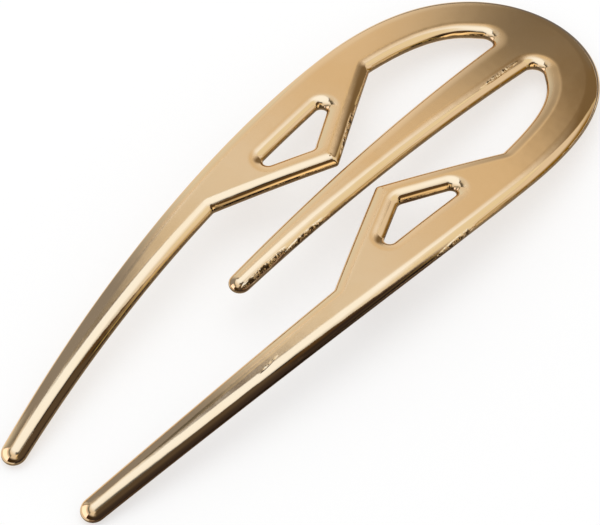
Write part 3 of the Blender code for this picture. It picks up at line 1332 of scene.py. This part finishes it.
def finish_glow(sheet: NodeSheet, colour: Colour, solid: object) -> None:
    """Ends a glowing material.

    Args:
        sheet: The material's sheet.
        colour: The glow.
        solid: How solid it is, from 0 to 1.
    """
    glow = sheet.add("ShaderNodeEmission", {"Color": (*colour, 1), "Strength": 1.0})
    clear = sheet.add("ShaderNodeBsdfTransparent")
    mix = sheet.add("ShaderNodeMixShader", {0: solid, 1: clear.outputs[0], 2: glow.outputs[0]})
    sheet.add("ShaderNodeOutputMaterial", {0: mix.outputs[0]})


def disc(name: str, centre: Place, radius: float, sides: int) -> bpy.types.Mesh:
    """Makes a flat round mesh that faces up.

    Args:
        name: The mesh's name.
        centre: Its centre.
        radius: Its radius.
        sides: How many sides its rim has.

    Returns:
        The mesh.
    """
    mesh = bpy.data.meshes.new(name)
    around = [2 * math.pi * i / sides for i in range(sides)]
    mesh.from_pydata([(radius * math.cos(a) + centre[0], radius * math.sin(a) + centre[1],
                       centre[2]) for a in around], [], [list(range(sides))])
    return mesh


def hang(mesh: bpy.types.Mesh) -> bpy.types.Object:
    """Puts a card or soft box front in the studio, where only polished metal shows it.

    Args:
        mesh: Its mesh, with its name, place and glow.

    Returns:
        The object.
    """
    piece = linked(mesh.name, mesh)
    piece.visible_camera = piece.visible_diffuse = piece.visible_shadow = False
    piece.visible_transmission = piece.visible_volume_scatter = False
    return piece


@dataclass
class Studio:
    """The pale table, the soft light and the cards round the fork.

    The table's tone is its own colour, and its fill is the glow that it adds where it shows, so
    that it looks nearly white. Each card is listed with its colour, its side feathers and its end
    feathers.
    """

    table_radius: float = 2.5
    table_sides: int = 96
    table_roughness: float = 0.9
    table_tone: float = 0.42
    table_fill: float = 0.58
    room_level: float = 0.82
    lamp_level: float = 0.8
    lamp_height: float = 0.9
    lamp_radius: float = 0.546
    lamp_centre: Pair = (-0.253, 0.156)
    front_colour: Colour = (1.35, 1.67, 2.24)
    front_feather: float = 0.597
    front_sides: int = 64
    cards: tuple[Card, ...] = (
        BallCard("window_left", (1.9, 1.73, 1.9), (0.31, 0.03), (0.03, 0.03),
                 turn=(-97, -4.1), rise=(1, 32.2), reach=0.62),
        BallCard("warm_card_right_wide", (1.51, 1.31, 0.92), (0.13, 0.03), (0, 0.04),
                 turn=(24.8, 121.9), rise=(-6, 72.7), reach=0.6),
        BallCard("grey_card_left", (0.25, 0.25, 0.25), (0.21, 0.45), (0, 0.03),
                 turn=(-88.4, -75), rise=(-8, 43.1), reach=0.6),
        BallCard("amber_card_back", (0.3, 0.19, 0.01), (0.03, 0.41), (0, 0.54),
                 turn=(117.4, 180.9), rise=(-8, 28.6), reach=0.6),
        BallCard("black_card_right", (0.01, 0.01, 0.01), (0.13, 0.46), (0, 0.03),
                 turn=(91.6, 126.3), rise=(-6, 76), reach=0.59),
        BallCard("brown_card_front", (0.06, 0.04, 0.02), (0.04, 0.03), (0, 0.34),
                 turn=(-18, 53.6), rise=(-6, 45.7), reach=0.59),
        BallCard("black_arc_above", (0.01, 0.01, 0.01), (0.2, 0.6), (0.5, 0.28),
                 strength=0.89, turn=(-2.2, 160.5), rise=(58, 81.3), reach=0.58),
        BallCard("cool_card_left", (0.95, 1.05, 1.12), (0.1, 0.48), (0, 0.6),
                 turn=(-124.4, -71), rise=(-8, 42), reach=0.58),
        BallCard("warm_card_back_left", (0.91, 0.83, 0.68), (0.45, 0.6), (0.6, 0.3),
                 turn=(-181.4, -107.9), rise=(6.8, 68.3), reach=0.57),
        BallCard("straw_strip_right", (0.56, 0.48, 0.21), (0.5, 0.03), (0.03, 0.31),
                 turn=(92.2, 132.2), rise=(25.4, 34.9), reach=0.57),
        BallCard("brown_card_right_high", (0.12, 0.08, 0.04), (0.03, 0.04), (0.51, 0.19),
                 turn=(77.5, 123.5), rise=(39.9, 73.5), reach=0.56),
        BallCard("white_strip_left", (0.9, 0.92, 0.91), (0.57, 0.13), (0.6, 0.18),
                 turn=(-159.4, -82.8), rise=(40.6, 63.2), reach=0.55),
        BallCard("dark_strip_front_left", (0.05, 0.08, 0.08), (0.25, 0.03), (0.6, 0.6),
                 turn=(-83.4, -7.9), rise=(34.6, 52.5), reach=0.545),
        BallCard("dark_line_left_high", (0.08, 0.04, 0.01), (0.48, 0.41), (0.57, 0.22),
                 turn=(-131, -78.5), rise=(58.1, 64.3), reach=0.54),
        BallCard("grey_line_left", (0.15, 0.15, 0.14), (0.6, 0.03), (0.18, 0.13),
                 turn=(-115.5, -89.3), rise=(40.2, 60.3), reach=0.535),
        BallCard("white_card_back", (1.06, 1.11, 1.03), (0.03, 0.16), (0.18, 0.54),
                 turn=(128, 175.7), rise=(39.2, 72.9), reach=0.53),
        FlatCard("brown_panel_right", (0.12, 0.1, 0.08), (0.54, 0.03), (0, 0.23),
                 corner=(0.0317, -0.1338, 0), side=(0, 0.117, 0), rise=(0, 0, 0.11)),
        FlatCard("grey_foot_right", (0.35, 0.28, 0.25), (0.03, 0.03), (0.03, 0),
                 corner=(0.0082, -0.1354, 0.0002), side=(0, 0.152, 0), rise=(0.037, 0, 0)),
        FlatCard("brown_panel_crown", (0.24, 0.19, 0.12), (0.33, 0.03), (0, 0.53),
                 corner=(-0.1195, 0.2, 0), side=(0.159, 0, 0), rise=(0, 0, 0.221)),
        FlatCard("grey_foot_crown", (0.21, 0.22, 0.27), (0.12, 0.03), (0.04, 0),
                 corner=(-0.0878, 0.0568, 0.0002), side=(0.181, 0, 0), rise=(0, 0.049, 0)),
        FlatCard("black_panel_right", (0.03, 0.02, 0.01), (0.6, 0.3), (0, 0.6),
                 corner=(0.1102, -0.1576, 0), side=(0, 0.151, 0), rise=(0, 0, 0.3)),
        FlatCard("grey_panel_left", (0.35, 0.37, 0.42), (0.14, 0.46), (0, 0.09),
                 corner=(-0.042, -0.0555, 0), side=(0, 0.062, 0), rise=(0, 0, 0.058)),
        FlatCard("low_panel_crown_left", (0.25, 0.23, 0.2), (0.2, 0.6), (0, 0.6),
                 corner=(-0.0219, 0.032, 0), side=(0, 0.3, 0), rise=(0, 0, 0.05)),
        FlatCard("straw_panel_crown_right", (0.67, 0.63, 0.46), (0.23, 0.07), (0, 0.14),
                 corner=(0.0315, 0.1309, 0), side=(0, 0.046, 0), rise=(0, 0, 0.1)),
        FlatCard("black_panel_mid_right", (0.01, 0.01, 0.01), (0.03, 0.07), (0, 0.03),
                 corner=(0.1012, -0.0463, 0), side=(0, 0.037, 0), rise=(0, 0, 0.065)),
        FlatCard("low_black_panel_right", (0.05, 0.04, 0.04), (0.03, 0.25), (0, 0.6),
                 corner=(0.0207, -0.1185, 0), side=(0, 0.129, 0), rise=(0, 0, 0.02)),
        FlatCard("line_panel_left", (0.15, 0.14, 0.08), (0.56, 0.23), (0.23, 0.09),
                 corner=(-0.043, -0.0505, 0.0263), side=(0, 0.024, 0), rise=(0, 0, 0.034)),
        FlatCard("barb_panel_right", (0.03, 0.02, 0.03), (0.04, 0.44), (0.6, 0.6),
                 corner=(0.0272, -0.0117, 0.0053), side=(0, 0.031, 0), rise=(0, 0, 0.023)),
    )

    def build(self) -> list[bpy.types.Object]:
        """Builds the table, the room, the soft box and the cards.

        Returns:
            The objects, without the room.
        """
        bpy.context.scene.view_settings.view_transform = "Standard"
        self.room()
        rim = feathered_rim()
        return [self.table(), self.lamp(), self.front(), *(card.build(rim) for card in self.cards)]

    @staticmethod
    def seen(sheet: NodeSheet) -> bpy.types.NodeSocket:
        """Adds a mask of the rays from the camera, and those that metal or glass sends on.

        Args:
            sheet: The tree that gets it.

        Returns:
            The mask's socket.
        """
        rays = sheet.add("ShaderNodeLightPath").outputs
        mirrored = sheet.math("MAXIMUM", rays["Is Glossy Ray"], rays["Is Transmission Ray"])
        return sheet.math("MAXIMUM", rays["Is Camera Ray"], mirrored)

    def room(self) -> None:
        """Makes the room: plain soft light, and plain white where it shows."""
        world = bpy.data.worlds.new("studio")
        world.use_nodes = True
        world.cycles.sampling_method = "NONE"
        sheet = NodeSheet(world.node_tree)
        shader = world.node_tree.nodes["Background"]
        shader.inputs["Color"].default_value = WHITE
        sheet.feed(shader.inputs["Strength"], sheet.blend(self.seen(sheet), self.room_level, 1.0))
        bpy.context.scene.world = world

    def lamp(self) -> bpy.types.Object:
        """Hangs the soft box's lamp over the fork.

        Returns:
            The lamp's object.
        """
        data = bpy.data.lights.new("soft_box", "AREA")
        data.shape = "DISK"
        data.size = 2 * self.lamp_radius
        # Pi times the disc's area, for each unit of level
        data.energy = self.lamp_level * (math.pi * self.lamp_radius) ** 2
        lamp = linked("soft_box", data)
        lamp.location = (*self.lamp_centre, self.lamp_height)
        lamp.visible_camera = lamp.visible_glossy = lamp.visible_transmission = False
        return lamp

    def front(self) -> bpy.types.Object:
        """Hangs the soft box's glowing front, which only polished metal shows.

        Returns:
            The front's object.
        """
        centre = (*self.lamp_centre, self.lamp_height)
        reach = self.lamp_radius + self.front_feather / 2
        material, sheet = glow_sheet("soft_box_front")
        place = sheet.add("ShaderNodeTexCoord").outputs["Object"]
        off = sheet.add("ShaderNodeVectorMath", {0: place, 1: centre}, operation="DISTANCE")
        solid = sheet.ramp(off.outputs["Value"], reach - self.front_feather, reach, 1, 0)
        finish_glow(sheet, self.front_colour, solid)
        mesh = disc("soft_box_front", centre, reach, self.front_sides)
        mesh.flip_normals()
        mesh.materials.append(material)
        return hang(mesh)

    def table(self) -> bpy.types.Object:
        """Makes the pale table top.

        Returns:
            The table's object.
        """
        material = bpy.data.materials.new("pale_table")
        material.use_nodes = True
        material.cycles.emission_sampling = "NONE"
        sheet = NodeSheet(material.node_tree)
        shader = material.node_tree.nodes["Principled BSDF"]
        shader.inputs["Base Color"].default_value = (self.table_tone,) * 3 + (1,)
        shader.inputs["Roughness"].default_value = self.table_roughness
        shader.inputs["Specular IOR Level"].default_value = 0
        shader.inputs["Emission Color"].default_value = WHITE
        fill = sheet.math("MULTIPLY", self.seen(sheet), self.table_fill)
        sheet.feed(shader.inputs["Emission Strength"], fill)
        mesh = disc("table", (0, 0, 0), self.table_radius, self.table_sides)
        mesh.materials.append(material)
        table = linked("table", mesh)
        return table


def main() -> None:
    """Builds the fork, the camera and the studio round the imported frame, and reports each piece."""
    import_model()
    fork = HairFork().build()
    log.info("%s: %d points, %d faces", fork.name, len(fork.data.vertices), len(fork.data.polygons))
    photo = PhotoCamera()
    camera = photo.build()
    log.info("%s: %.0f mm lens at %.0f mm", camera.name, photo.lens, photo.distance / MILLIMETRE)
    for piece in Studio().build():
        log.info("%s: set up", piece.name)


if __name__ == "__main__":
    main()
